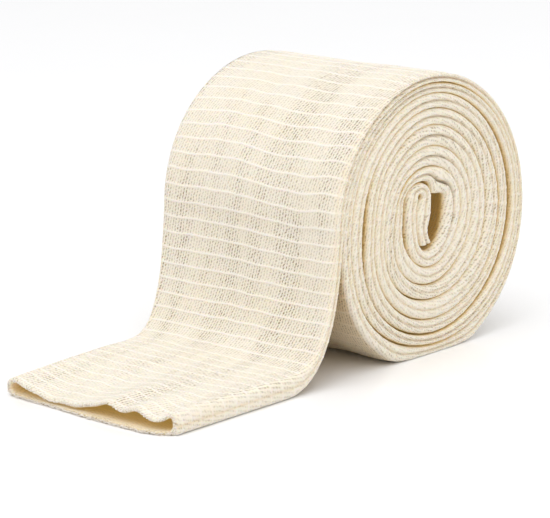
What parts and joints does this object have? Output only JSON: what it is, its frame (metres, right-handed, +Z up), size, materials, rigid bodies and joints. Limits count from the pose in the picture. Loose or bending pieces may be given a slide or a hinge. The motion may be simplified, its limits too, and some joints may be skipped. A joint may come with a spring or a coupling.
{
  "type": "tubular bandage roll",
  "caption": "Length of ribbed knitted elastic tube wound into a loose roll, its last stretch hanging down and lying flat in front with an open mouth.",
  "frame": {"origin": "on the surface, under the middle of the whole object's box", "axes": "+Z up, Y along the roll's own axis, -X towards the open mouth of the loose end"},
  "size_m": [0.1574, 0.075, 0.087],
  "materials": {
    "knit": "undyed cream cotton knit with covered elastic thread laid in across the tube, matt and slightly puckered"
  },
  "bodies": {
    "root": {"tubular_bandage": "knit"}
  },
  "joints": []
}
